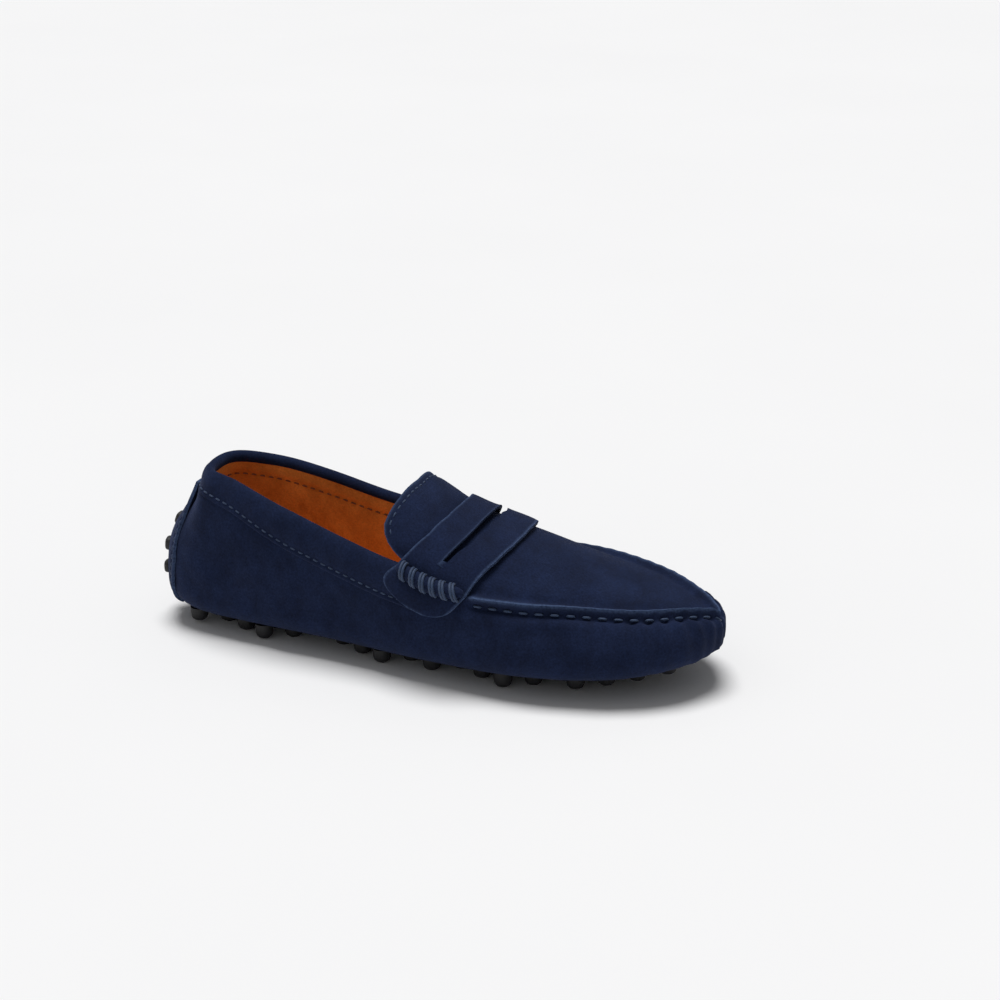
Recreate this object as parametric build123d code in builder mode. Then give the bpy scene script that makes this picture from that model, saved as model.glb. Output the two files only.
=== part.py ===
from build123d import *
import math
import os

# A driving penny loafer for the right foot. +X points to the toe, +Y to the inner (medial)
# side and +Z up. The origin is on the ground, under the middle of the heel.
# All sizes are in millimetres. An "x" in the curves below is measured from the back of the heel.
# Every leather piece is a part of one curved skin, cut into flat triangles, at its own depth.

os.makedirs("parts", exist_ok=True)

# ---------------------------------------------------------------- driving dimensions
LENGTH = 285.0              # outside length, heel to toe
HEEL_TO_ORIGIN = 44.0       # from the back of the heel to the origin, under a pebble
SUEDE = 1.6                 # thickness of the outer leather
BAND = 1.2                  # thickness of the collar's leather and of the heel's rubber strip
STIFFENER = 0.8             # thickness of toe puff, heel counter and the tongue's lining
LINING = 1.0                # thickness of lining, insole board and sock
GAP = 0.3                   # free space between two layers
COLLAR_DEPTH = 17.0         # how far the collar band comes down outside
COLLAR_INSIDE = 8.0         # how far it comes down inside
COLLAR_PAD = 3.0            # height of the padding rolled into the collar
PEBBLE_RADIUS = 4.3
PEBBLE_PITCH = 13.8         # across the shoe
ROW_PITCH = 13.0            # along the shoe
PEBBLE_HEIGHT = 5.0         # how far a pebble stands out of the leather
PEBBLE_BLUNT = 1.5          # chamfer of a pebble's foot
PEBBLE_SIDES = 12
SOLE_SPREAD = 0.68          # outermost pebbles, as a share of the sole's half width
TOE_SPREAD = 0.56           # the same at the toe
TOE_SPREAD_FROM = 246.0     # from here on
HEEL_PEBBLES = (18, 5)      # x of the first row, and number of rows
BALL_PEBBLES = (97, 9)
TOE_PEBBLES = (222, 4)
STRAP_REAR = 150.0          # rear edge of the penny strap
STRAP_FRONT = 185.0         # front edge of the penny strap
STRAP_END = 12.0            # how far its side ends come down below the seam
SEAM_PITCH = 7.4            # distance between two stitches of the moc seam
STITCH_PITCH = 5.0          # the same for the fine rows
STITCH_INSET = 2.5          # collar stitches above the band's lower edge
LINING_ROW = 12.0           # lining stitches below the top edge
EDGE_ROW = 4.0              # rows of corners below the top edge
WALL_ROW = 10.0
TAB_DROP = 4.0              # top of the heel patch below the collar band
ROLL_RADIUS = 3.0           # leather roll at each end of the strap
THREAD = 0.9                # width of an ordinary thread
WRAP = 1.4                  # width of the thread wound over the roll

# Offsets of the layers from the outside of the suede: outer face, inner face.
UPPER = (0.0, -SUEDE)
STIFF = (UPPER[1] - GAP, UPPER[1] - GAP - STIFFENER)
LINED = (STIFF[1] - GAP, STIFF[1] - GAP - LINING)
INMOST = (LINED[1] - GAP, LINED[1] - GAP - LINING)
OVER = (GAP + BAND, GAP)
SADDLE = (OVER[0] + GAP + SUEDE, OVER[0] + GAP)


# ---------------------------------------------------------------- the form of the foot
def angle(x):
    """Where x lies along the length, as an angle from 0 at the heel to pi at the toe."""
    return math.acos(max(-1.0, min(1.0, 1 - 2 * x / LENGTH)))


def profile(*knots):
    """A smooth curve through (x, value) knots. It runs on the angle, so its ends close round."""
    t = [angle(x) for x, _ in knots]
    v = [value for _, value in knots]
    rise = [(v[i + 1] - v[i]) / (t[i + 1] - t[i]) for i in range(len(t) - 1)]
    slope = [rise[0]]
    for i in range(1, len(t) - 1):
        before, after = t[i] - t[i - 1], t[i + 1] - t[i]
        slope.append((rise[i - 1] * after + rise[i] * before) / (before + after))
    slope.append(rise[-1])

    def value_at(x):
        a = angle(x)
        i = max(k for k in range(len(t) - 1) if a >= t[k] or k == 0)
        span = t[i + 1] - t[i]
        u = (a - t[i]) / span
        return (
            v[i] * (1 + 2 * u) * (1 - u) ** 2
            + v[i + 1] * u * u * (3 - 2 * u)
            + span * (slope[i] * u * (1 - u) ** 2 - slope[i + 1] * u * u * (1 - u))
        )

    return value_at


lateral = profile(
    (0, 0), (10, 21.5), (45, 31), (100, 37.5), (150, 46.5), (200, 51.5), (240, 45.5), (268, 30), (285, 0)
)
medial = profile(
    (0, 0), (10, 21.5), (45, 30.5), (100, 35), (150, 41), (200, 46.5), (240, 46), (268, 34), (285, 0)
)
widest = profile((0, 26), (40, 22), (150, 21), (220, 22), (285, 27))
keel = profile((0, 18), (4, 11), (20, 6), (60, 5), (200, 5.2), (245, 8.5), (270, 13.5), (285, 21))
crest = profile(
    (0, 33), (4, 48), (10, 57), (17, 66), (24, 84), (45, 98), (80, 112), (105, 101), (130, 84),
    (150, 73), (185, 62), (225, 51), (255, 44.5), (275, 39.5), (285, 33),
)
fullness = profile((0, 2.3), (100, 2.5), (150, 2.9), (185, 2.6), (235, 2.4), (285, 2.3))
SOLE_FULLNESS = 2.7
rim = profile((0, 82), (22, 82), (45, 79.5), (75, 71.5), (105, 63), (135, 56.5), (152, 54.5), (285, 40))
seam_out = profile((150, 43), (175, 45), (200, 43), (225, 36), (250, 26), (268, 13), (285, -11))
seam_in = profile((150, 39), (175, 41), (200, 40), (225, 35), (250, 27), (268, 15), (285, -8))
CORE_Z = 24.0               # height of the line inside the shoe from which the skin is laid out
HEEL_CENTRE = 46.0          # the ends of that line
TOE_CENTRE = 236.0


def form_value(x, y, z):
    """Below 0 inside the form, above 0 outside."""
    s = max(0.02, min(LENGTH - 0.02, x))
    mid = widest(s)
    tall = crest(s) - mid if z > mid else mid - keel(s)
    wide = lateral(s) if y < 0 else medial(s)
    power = fullness(s) if z > mid else SOLE_FULLNESS
    value = (abs(z - mid) / max(tall, 0.05)) ** power + (abs(y) / max(wide, 0.05)) ** power - 1
    return value + 4 * max(-x, x - LENGTH, 0)


def outward(x, y, z):
    """Unit normal of the form near a point."""
    step = 0.25
    grad = Vector(
        form_value(x + step, y, z) - form_value(x - step, y, z),
        form_value(x, y + step, z) - form_value(x, y - step, z),
        form_value(x, y, z + step) - form_value(x, y, z - step),
    )
    return grad.normalized()


def above_edge(x, y, z):
    """True above the shell's top edge: the rim at the back, the apron seam in front."""
    seam = seam_out(x) if y < 0 else seam_in(x)
    if x >= 175:
        return z > CORE_Z and abs(y) < seam
    wide = lateral(x) if y < 0 else medial(x)
    mid, power = widest(x), fullness(x)
    seam_z = mid + (crest(x) - mid) * (1 - min(1, seam / wide) ** power) ** (1 / power)
    blend = max(0.0, (x - 150) / 25)
    return z > rim(x) * (1 - blend) + seam_z * blend


class Column:
    """One line of the skin, from under the sole, up the wall and over to the top."""

    steps = 60

    def __init__(self, start_x, heading):
        self.start_x = start_x
        self.way = (math.cos(math.radians(heading)), math.sin(math.radians(heading)))
        self.tilts = [-90 + 180 * k / self.steps for k in range(self.steps + 1)]
        places = [self.on_form(tilt) for tilt in self.tilts]
        self.runs = [0.0]
        for before, after in zip(places, places[1:]):
            self.runs.append(self.runs[-1] + (after - before).length)
        low, high = 5.0, 90.0
        for _ in range(24):
            tilt = (low + high) / 2
            point = self.on_form(tilt)
            low, high = (low, tilt) if above_edge(*point) else (tilt, high)
        self.edge = self.run_at(high)
        self.x = self.on_form(high).X

    def on_form(self, tilt):
        """The point of the form that is seen from the core line at this tilt."""
        flat, rise = math.cos(math.radians(tilt)), math.sin(math.radians(tilt))
        low, high = 0.0, 150.0
        for _ in range(24):
            t = (low + high) / 2
            x, y, z = self.start_x + t * flat * self.way[0], t * flat * self.way[1], CORE_Z + t * rise
            low, high = (t, high) if form_value(x, y, z) < 0 else (low, t)
        return Vector(self.start_x + high * flat * self.way[0], high * flat * self.way[1], CORE_Z + high * rise)

    def run_at(self, tilt):
        k = min(self.steps - 1, int((tilt + 90) * self.steps / 180))
        return self.runs[k] + (self.runs[k + 1] - self.runs[k]) * ((tilt - self.tilts[k]) * self.steps / 180)

    def at(self, run, offset):
        """The point this far along the line from under the sole, moved out by offset."""
        k = max(k for k in range(self.steps) if run >= self.runs[k] or k == 0)
        share = (run - self.runs[k]) / (self.runs[k + 1] - self.runs[k])
        tilt = self.tilts[k] + min(1.0, share) * 180 / self.steps
        point = self.on_form(tilt)
        normal = outward(*point)
        if tilt < -89.9 or tilt > 89.9:
            normal = Vector(normal.X, 0, normal.Z).normalized()
        return point + normal * offset - Vector(HEEL_TO_ORIGIN, 0, 0)


SIDE_X = [46, 60, 74, 88, 102, 116, 130, 143, 150, 157, 163, 168, 176, 185, 198, 211, 224, 236]
FAN = [18, 36, 54, 72]
outer_half = [Column(HEEL_CENTRE, 180)]
outer_half += [Column(HEEL_CENTRE, 180 + a) for a in FAN]
outer_half += [Column(x, 270) for x in SIDE_X]
outer_half += [Column(TOE_CENTRE, 270 + a) for a in FAN]
inner_half = [Column(TOE_CENTRE, 0)]
inner_half += [Column(TOE_CENTRE, 90 - a) for a in reversed(FAN)]
inner_half += [Column(x, 90) for x in reversed(SIDE_X)]
inner_half += [Column(HEEL_CENTRE, 180 - a) for a in reversed(FAN)]
COLUMNS = outer_half + inner_half


# ---------------------------------------------------------------- rows across the columns
def below(distance):
    """A row this far below the top edge."""
    return lambda column: column.edge - distance


def floor(share):
    """A row between the collar's depth and the middle of the sole, which is share 1."""
    return lambda column: (column.edge - COLLAR_DEPTH) * (1 - share)


def top(share):
    """A row between the top edge and the middle of the instep, which is share 1."""
    return lambda column: column.edge + (column.runs[-1] - column.edge) * share


def leather_edge(column):
    """The shell's own edge: under the collar's padding at the back, at the seam in front."""
    return column.edge - (COLLAR_PAD + GAP if column.x < STRAP_REAR + 8 else GAP)


WALL = [below(EDGE_ROW), below(WALL_ROW), below(COLLAR_DEPTH), floor(0.2), floor(0.4), floor(0.6), floor(0.8), floor(1)]
TOP = [top(0.25), top(0.5), top(0.75), top(1)]
OVER_TOP = [top(1), top(0.75), top(0.5), top(0.25), top(0)]


# ---------------------------------------------------------------- triangles to solids
def solid_from(triangles):
    """A closed solid from triangles of points. Points at one place are one corner."""
    corners = {}
    faces = []
    for triangle in triangles:
        keys = [tuple(round(value, 4) for value in point) for point in triangle]
        if len(set(keys)) < 3:
            continue
        spots = [corners.setdefault(key, point) for key, point in zip(keys, triangle)]
        faces.append(Face(Wire.make_polygon(spots, close=True)))
    solid = Solid(Shell(faces))
    return solid if solid.volume > 0 else Solid(Shell([-face for face in faces]))


def quad(a, b, c, d):
    return [(a, b, c), (a, c, d)]


def skin(columns, outer_rows, inner_rows=None, faces=UPPER, loop=False, joined=(), keep=None):
    """Triangles of a sheet over some columns and rows.

    faces holds the outer and inner offsets. A loop closes on its first column. The row numbers
    in joined meet the other side of the shoe, so they get no wall. keep(i, j) picks the cells."""
    inner_rows = inner_rows or outer_rows
    outer = [[c.at(row(c), faces[0]) for row in outer_rows] for c in columns]
    inner = [[c.at(row(c), faces[1]) for row in inner_rows] for c in columns]
    return cells(outer, inner, loop, joined, keep)


def cells(outer, inner, loop=False, joined=(), keep=None):
    """Triangles of a sheet between two grids of points."""
    wide, deep = len(outer), len(outer[0])
    spans = wide if loop else wide - 1
    kept = {(i, j) for i in range(spans) for j in range(deep - 1) if keep is None or keep(i, j)}
    triangles = []
    for i, j in sorted(kept):
        k = (i + 1) % wide
        triangles += quad(outer[i][j], outer[i][j + 1], outer[k][j + 1], outer[k][j])
        triangles += quad(inner[i][j], inner[k][j], inner[k][j + 1], inner[i][j + 1])
        if (i, j - 1) not in kept and j not in joined:
            triangles += quad(outer[i][j], outer[k][j], inner[k][j], inner[i][j])
        if (i, j + 1) not in kept and j + 1 not in joined:
            triangles += quad(outer[k][j + 1], outer[i][j + 1], inner[i][j + 1], inner[k][j + 1])
        before = (i - 1) % wide if loop else i - 1
        if (before, j) not in kept:
            triangles += quad(outer[i][j + 1], outer[i][j], inner[i][j], inner[i][j + 1])
        if (k if loop else i + 1, j) not in kept:
            triangles += quad(outer[k][j], outer[k][j + 1], inner[k][j + 1], inner[k][j])
    return triangles


def between(first, last, half=None):
    """Neighbouring columns whose edge lies from x first to x last, in order round the shoe."""
    start = {None: COLUMNS, "outer": outer_half, "inner": inner_half}[half]
    picked = [c for c in start if first - 0.5 <= c.x <= last + 0.5]
    if half is None and first == 0:
        rear_inner = [c for c in inner_half if c in picked]
        return rear_inner + [c for c in outer_half if c in picked]
    return picked


# ---------------------------------------------------------------- outer leather
with BuildPart() as moccasin_shell:
    add(solid_from(skin(COLUMNS, [leather_edge, *WALL], loop=True, joined=[len(WALL)])))

with BuildPart() as apron:
    add(solid_from(skin(between(168, LENGTH), OVER_TOP, joined=[0])))


# ---------------------------------------------------------------- penny strap and its rolls
strap_rows = [below(STRAP_END), below(EDGE_ROW), top(0), *TOP]


def strap_half(half):
    """One side of the strap, up to the middle, with its half of the penny slot left open."""
    columns = between(STRAP_REAR, STRAP_FRONT, half)
    slot = [i for i, c in enumerate(columns[:-1]) if {c.x, columns[i + 1].x} == {163.0, 168.0}]
    return skin(columns, strap_rows, faces=SADDLE, joined=[len(strap_rows) - 1],
                keep=lambda i, j: not (i in slot and j >= 4))


with BuildPart() as saddle_strap:
    add(solid_from(strap_half("outer") + strap_half("inner")))


def tube(points, radius, sides=8):
    """Triangles of a straight sided tube round a row of points."""
    rings = []
    for i, point in enumerate(points):
        way = (points[min(i + 1, len(points) - 1)] - points[max(i - 1, 0)]).normalized()
        plane = Plane(origin=point, z_dir=way)
        turns = [2 * math.pi * k / sides for k in range(sides)]
        rings.append([plane.from_local_coords(Vector(radius * math.cos(t), radius * math.sin(t), 0))
                      for t in turns])
    triangles = []
    for before, after in zip(rings, rings[1:]):
        for k in range(sides):
            triangles += quad(before[k], before[k - 1], after[k - 1], after[k])
    for ring, middle, turn in ((rings[0], points[0], 1), (rings[-1], points[-1], -1)):
        for k in range(sides):
            triangles.append((middle, ring[k - 1], ring[k])[::turn])
    return triangles


def roll_line(half):
    """The line of the leather roll, where the strap's end crosses the seam."""
    lift = SADDLE[0] + GAP + WRAP + ROLL_RADIUS
    columns = between(STRAP_REAR, STRAP_FRONT, half)
    return [c.at(c.edge, lift) for c in columns]


def whipstitch(half):
    """Rings of thick thread wound over a roll."""
    line = Wire.make_polygon(roll_line(half), close=False)
    turns, sides = 6, 8
    rings = []
    for i in range(turns):
        where = 0.08 + 0.84 * i / (turns - 1)
        plane = Plane(origin=line @ where, z_dir=line % where)
        inner, outer = [], []
        for radius, side in ((ROLL_RADIUS + 0.1, inner), (ROLL_RADIUS + WRAP, outer)):
            for across in (-WRAP / 2, WRAP / 2):
                side.append([plane.from_local_coords(Vector(
                    radius * math.cos(2 * math.pi * k / sides),
                    radius * math.sin(2 * math.pi * k / sides), across)) for k in range(sides)])
        rings.append(cells(list(zip(*outer)), list(zip(*inner)), loop=True))
    return rings


with BuildPart() as beef_roll_lateral:
    add(solid_from(tube(roll_line("outer"), ROLL_RADIUS)))

with BuildPart() as beef_roll_medial:
    add(solid_from(tube(roll_line("inner"), ROLL_RADIUS)))

with BuildPart() as whipstitch_lateral:
    for ring in whipstitch("outer"):
        add(solid_from(ring))

with BuildPart() as whipstitch_medial:
    for ring in whipstitch("inner"):
        add(solid_from(ring))

# ---------------------------------------------------------------- tongue
TONGUE_REAR = 127.0         # rear edge of the tongue
TONGUE_FRONT = 157.0        # its sewn end, under the strap


def tongue_half(half, faces, inset):
    """One side of the tongue, from the middle of the instep outwards."""
    columns = between(TONGUE_REAR + inset, TONGUE_FRONT, half)
    rows = [top(0.18 + inset / 20), *TOP]
    corner = min(columns, key=lambda c: c.x)
    return skin(columns, rows, faces=faces, joined=[len(TOP)],
                keep=lambda i, j: j > 0 or corner not in columns[i:i + 2])


with BuildPart() as tongue:
    add(solid_from(tongue_half("outer", UPPER, 0) + tongue_half("inner", UPPER, 0)))

with BuildPart() as tongue_lining:
    add(solid_from(tongue_half("outer", STIFF, 1) + tongue_half("inner", STIFF, 1)))

# ---------------------------------------------------------------- collar
collar_columns = between(0, 143)


def collar_grid(path):
    return [[c.at(row(c), offset) for row, offset in path] for c in collar_columns]


with BuildPart() as collar_band:
    outside = [(below(d), OVER[0]) for d in (COLLAR_DEPTH, WALL_ROW, EDGE_ROW, -BAND)]
    inside = [(below(d), OVER[1]) for d in (COLLAR_DEPTH, WALL_ROW, EDGE_ROW, 0)]
    outside += [(below(d), INMOST[1]) for d in (-BAND, EDGE_ROW, COLLAR_INSIDE)]
    inside += [(below(d), INMOST[0]) for d in (0, EDGE_ROW, COLLAR_INSIDE)]
    add(solid_from(cells(collar_grid(outside), collar_grid(inside))))

with BuildPart() as collar_foam:
    pad_rows = [below(GAP), below(COLLAR_PAD)]
    add(solid_from(skin(collar_columns, pad_rows, faces=(UPPER[0], LINED[1]))))

# ---------------------------------------------------------------- stiffeners and linings
with BuildPart() as heel_counter:
    add(solid_from(skin(between(0, 62), [below(COLLAR_DEPTH), floor(0.2), floor(0.4)], faces=STIFF)))

with BuildPart() as toe_puff:
    toe_rows = [*OVER_TOP, below(EDGE_ROW), below(WALL_ROW), below(COLLAR_DEPTH), floor(0.2)]
    toe_columns = [c for c in COLUMNS if c.start_x == TOE_CENTRE]
    add(solid_from(skin(toe_columns, toe_rows, faces=STIFF, joined=[0])))

with BuildPart() as quarter_lining:
    rows = [leather_edge, below(WALL_ROW), below(COLLAR_DEPTH), floor(0.2), floor(0.4)]
    add(solid_from(skin(between(0, 157), rows, faces=LINED)))

with BuildPart() as vamp_lining:
    rows = [*OVER_TOP, below(EDGE_ROW), below(WALL_ROW), below(COLLAR_DEPTH), floor(0.2), floor(0.4)]
    add(solid_from(skin(between(163, LENGTH), rows, faces=LINED, joined=[0])))

with BuildPart() as insole_board:
    rows = [floor(0.6), floor(0.8), floor(1)]
    add(solid_from(skin(between(0, 198), rows, faces=LINED, joined=[2])))

with BuildPart() as sock_lining:
    rows = [floor(0.4), floor(0.6), floor(0.8), floor(1)]
    add(solid_from(skin(COLUMNS, rows, faces=INMOST, loop=True, joined=[3])))


# ---------------------------------------------------------------- sole pebbles
def pebble_places(x_first, rows):
    """Places of the pebbles under the sole: rows across the shoe, every other one shifted."""
    places = []
    for row in range(rows):
        x = x_first + row * ROW_PITCH
        spread = TOE_SPREAD if x > TOE_SPREAD_FROM else SOLE_SPREAD
        for k in range(-8, 9):
            y = (k + row % 2 / 2) * PEBBLE_PITCH
            if -spread * lateral(x) <= y <= spread * medial(x):
                places.append((x, y))
    return places


def sole_at(x, y):
    """Height of the underside of the sole leather over x, y."""
    mid = widest(x)
    ratio = min(1.0, abs(y) / (lateral(x) if y < 0 else medial(x)))
    return mid - (mid - keel(x)) * (1 - ratio**SOLE_FULLNESS) ** (1 / SOLE_FULLNESS)


def pebbles(x_first, rows):
    """Rubber pebbles under the sole leather, each blunt below and flat above, just clear of it."""
    with BuildPart() as group:
        for x, y in pebble_places(x_first, rows):
            foot = max(0.0, keel(x) - PEBBLE_HEIGHT)
            around = [(PEBBLE_RADIUS * math.cos(k), PEBBLE_RADIUS * math.sin(k)) for k in range(7)]
            head = min(sole_at(x + dx, y + dy) for dx, dy in around + [(0, 0)]) - GAP
            with BuildSketch(Plane((x - HEEL_TO_ORIGIN, y, foot))):
                RegularPolygon(PEBBLE_RADIUS, PEBBLE_SIDES)
            extrude(amount=head - foot)
        feet = group.faces().filter_by(Axis.Z).filter_by(lambda face: face.normal_at().Z < 0)
        chamfer(feet.edges(), PEBBLE_BLUNT)
    return group.part


with BuildPart() as heel_pebbles:
    add(pebbles(*HEEL_PEBBLES))

with BuildPart() as ball_pebbles:
    add(pebbles(*BALL_PEBBLES))

with BuildPart() as toe_pebbles:
    add(pebbles(*TOE_PEBBLES))

# ---------------------------------------------------------------- heel patch and its studs
STUD_SIDE = 6.0
STUD_HEIGHT = 3.2
tab_columns = [c for c in COLUMNS if c.start_x == HEEL_CENTRE and c.way[0] < -0.8]
tab_columns = [c for c in inner_half if c in tab_columns] + [c for c in outer_half if c in tab_columns]
tab_rows = [below(COLLAR_DEPTH + TAB_DROP), floor(0.15), floor(0.3), floor(0.45)]

with BuildPart() as heel_tab:
    add(solid_from(skin(tab_columns, tab_rows, faces=SADDLE)))


def studs():
    """Square rubber studs on the heel patch, two in each row, with one on top."""
    places = []
    for share, spots in ((0.05, (0,)), (0.2, (-1, 1)), (0.35, (-1, 1))):
        for side in spots:
            column = tab_columns[len(tab_columns) // 2 + side]
            run = floor(share)(column)
            root, tip = column.at(run, SADDLE[0] + GAP), column.at(run, SADDLE[0] + STUD_HEIGHT)
            places.append((root, tip))
    return places


with BuildPart() as heel_tab_pebbles:
    for root, tip in studs():
        with BuildSketch(Plane(origin=root, z_dir=tip - root)):
            Rectangle(STUD_SIDE, STUD_SIDE)
        extrude(amount=(tip - root).length, taper=12)


# ---------------------------------------------------------------- threads
def stitches(ends, width=THREAD):
    """Short square bars, one for each pair of end points."""
    with BuildPart() as thread:
        for start, finish in ends:
            with BuildSketch(Plane(origin=start, z_dir=finish - start)):
                Rectangle(width, width)
            extrude(amount=(finish - start).length)
    return thread.part


def row_of(columns, row, offset, pitch, share=0.62):
    """Stitches that lie along one row of the skin, at one offset."""
    line = Wire.make_polygon([c.at(row(c), offset) for c in columns], close=False)
    count = int(line.length / pitch)
    return [(line @ ((i + 0.5 - share / 2) / count), line @ ((i + 0.5 + share / 2) / count))
            for i in range(count)]


with BuildPart() as apron_seam_thread:
    add(stitches(row_of(between(198, LENGTH), top(0), UPPER[0], SEAM_PITCH)))

with BuildPart() as collar_stitching:
    add(stitches(row_of(collar_columns, below(COLLAR_DEPTH - STITCH_INSET), OVER[0], STITCH_PITCH)))

with BuildPart() as lining_stitching:
    add(stitches(row_of(collar_columns, below(LINING_ROW), LINED[1], STITCH_PITCH)))

with BuildPart() as heel_tab_stitching:
    for column in (tab_columns[0], tab_columns[-1]):
        points = [column.at(floor(share)(column), SADDLE[0]) for share in (0.02, 0.1, 0.18, 0.26, 0.34, 0.42)]
        add(stitches([(a * 0.8 + b * 0.2, a * 0.2 + b * 0.8) for a, b in zip(points, points[1:])]))

with BuildPart() as tongue_edge_stitching:
    rear = [min(between(TONGUE_REAR, TONGUE_FRONT, half), key=lambda c: c.x) for half in ("outer", "inner")]
    for column in rear:
        points = [column.at(top(share)(column), UPPER[0]) for share in (0.45, 0.58, 0.71, 0.84, 0.97)]
        add(stitches([(a * 0.8 + b * 0.2, a * 0.2 + b * 0.8) for a, b in zip(points, points[1:])]))

# ---------------------------------------------------------------- write the pieces
pieces = {
    "moccasin_shell": moccasin_shell,
    "apron": apron,
    "apron_seam_thread": apron_seam_thread,
    "toe_puff": toe_puff,
    "vamp_lining": vamp_lining,
    "saddle_strap": saddle_strap,
    "beef_roll_lateral": beef_roll_lateral,
    "beef_roll_medial": beef_roll_medial,
    "whipstitch_lateral": whipstitch_lateral,
    "whipstitch_medial": whipstitch_medial,
    "tongue": tongue,
    "tongue_lining": tongue_lining,
    "tongue_edge_stitching": tongue_edge_stitching,
    "collar_band": collar_band,
    "collar_foam": collar_foam,
    "collar_stitching": collar_stitching,
    "heel_tab": heel_tab,
    "heel_tab_pebbles": heel_tab_pebbles,
    "heel_tab_stitching": heel_tab_stitching,
    "heel_counter": heel_counter,
    "quarter_lining": quarter_lining,
    "lining_stitching": lining_stitching,
    "insole_board": insole_board,
    "sock_lining": sock_lining,
    "heel_pebbles": heel_pebbles,
    "ball_pebbles": ball_pebbles,
    "toe_pebbles": toe_pebbles,
}
for name, piece in pieces.items():
    piece.part.label = name
    export_step(piece.part, f"parts/{name}.step")
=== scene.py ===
"""The looks of the driving penny loafer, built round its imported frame. Lengths in the shape code
are millimetres measured from the back of the heel; to_frame() turns them into the frame's metres."""

import math

import bmesh
import bpy
import numpy as np
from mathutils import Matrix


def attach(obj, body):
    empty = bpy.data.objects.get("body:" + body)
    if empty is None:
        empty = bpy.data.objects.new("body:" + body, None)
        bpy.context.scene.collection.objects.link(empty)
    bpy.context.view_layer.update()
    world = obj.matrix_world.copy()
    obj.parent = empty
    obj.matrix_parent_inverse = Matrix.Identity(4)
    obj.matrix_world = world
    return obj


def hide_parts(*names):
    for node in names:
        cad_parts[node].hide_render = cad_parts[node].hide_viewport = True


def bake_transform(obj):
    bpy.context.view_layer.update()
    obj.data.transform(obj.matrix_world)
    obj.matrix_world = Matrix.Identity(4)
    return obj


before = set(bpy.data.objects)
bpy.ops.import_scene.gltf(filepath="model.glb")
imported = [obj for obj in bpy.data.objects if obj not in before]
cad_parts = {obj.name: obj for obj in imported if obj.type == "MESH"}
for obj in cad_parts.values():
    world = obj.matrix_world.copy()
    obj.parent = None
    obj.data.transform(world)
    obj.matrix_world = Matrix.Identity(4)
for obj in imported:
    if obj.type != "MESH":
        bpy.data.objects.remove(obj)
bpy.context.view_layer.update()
rng = np.random.default_rng(7)

# ------------------------------------------------------------------ driving dimensions
LENGTH = 285.0          # heel to toe
ORIGIN = 44.0           # the frame's origin, from the back of the heel
SUEDE = 1.6
LINING_AT = -3.8        # visible face of the lining, from the outside of the suede
STRAP_LIFT = 3.2        # outer face of the strap above the suede
STRAP_THICK = 1.9
SEAM_PITCH = 7.4        # distance between two stitches of the moc seam
COLLAR_DEPTH = 17.0     # from the top edge down to where the rows of the floor begin
STITCH_PITCH, STITCH_RADIUS = 4.4, 0.42
PEBBLE_RADIUS, PEBBLE_PITCH, ROW_PITCH, PEBBLE_HEIGHT = 4.4, 13.8, 13.0, 5.0
HEEL_CENTRE, TOE_CENTRE, CORE_Z = 46.0, 236.0, 24.0


# ------------------------------------------------------------------ the form of the foot
def angle(x):
    return np.arccos(np.clip(1 - 2 * np.asarray(x, float) / LENGTH, -1, 1))


def profile(*knots):
    """A smooth curve through (x, value) knots. It runs on the angle, so its ends close round."""
    t = angle([x for x, _ in knots])
    v = np.array([value for _, value in knots], float)
    span = np.diff(t)
    rise = np.diff(v) / span
    inner = (rise[:-1] * span[1:] + rise[1:] * span[:-1]) / (span[1:] + span[:-1])
    slope = np.r_[rise[0], inner, rise[-1]]

    def value_at(x):
        a = angle(x)
        i = np.clip(np.searchsorted(t, a, side="right") - 1, 0, len(t) - 2)
        u = (a - t[i]) / span[i]
        return (
            v[i] * (1 + 2 * u) * (1 - u) ** 2
            + v[i + 1] * u * u * (3 - 2 * u)
            + span[i] * (slope[i] * u * (1 - u) ** 2 - slope[i + 1] * u * u * (1 - u))
        )

    return value_at


lateral = profile(
    (0, 0), (10, 21.5), (45, 31), (100, 37.5), (150, 46.5), (200, 51.5), (240, 45.5), (268, 30), (285, 0)
)
medial = profile(
    (0, 0), (10, 21.5), (45, 30.5), (100, 35), (150, 41), (200, 46.5), (240, 46), (268, 34), (285, 0)
)
widest = profile((0, 26), (40, 22), (150, 21), (220, 22), (285, 27))
keel = profile((0, 18), (4, 11), (20, 6), (60, 5), (200, 5.2), (245, 8.5), (270, 13.5), (285, 21))
crest = profile(
    (0, 33), (4, 48), (10, 57), (17, 66), (24, 84), (45, 98), (80, 112), (105, 101), (130, 84),
    (150, 73), (185, 62), (225, 51), (255, 44.5), (275, 39.5), (285, 33),
)
fullness = profile((0, 2.3), (100, 2.5), (150, 2.9), (185, 2.6), (235, 2.4), (285, 2.3))
SOLE_FULLNESS = 2.7
rim = profile((0, 82), (22, 82), (45, 79.5), (75, 71.5), (105, 63), (135, 56.5), (152, 54.5), (285, 40))
seam_out = profile((150, 43), (175, 45), (200, 43), (225, 36), (250, 26), (268, 13), (285, -11))
seam_in = profile((150, 39), (175, 41), (200, 40), (225, 35), (250, 27), (268, 15), (285, -8))


def smooth(t):
    t = np.clip(t, 0, 1)
    return t * t * (3 - 2 * t)


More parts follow.
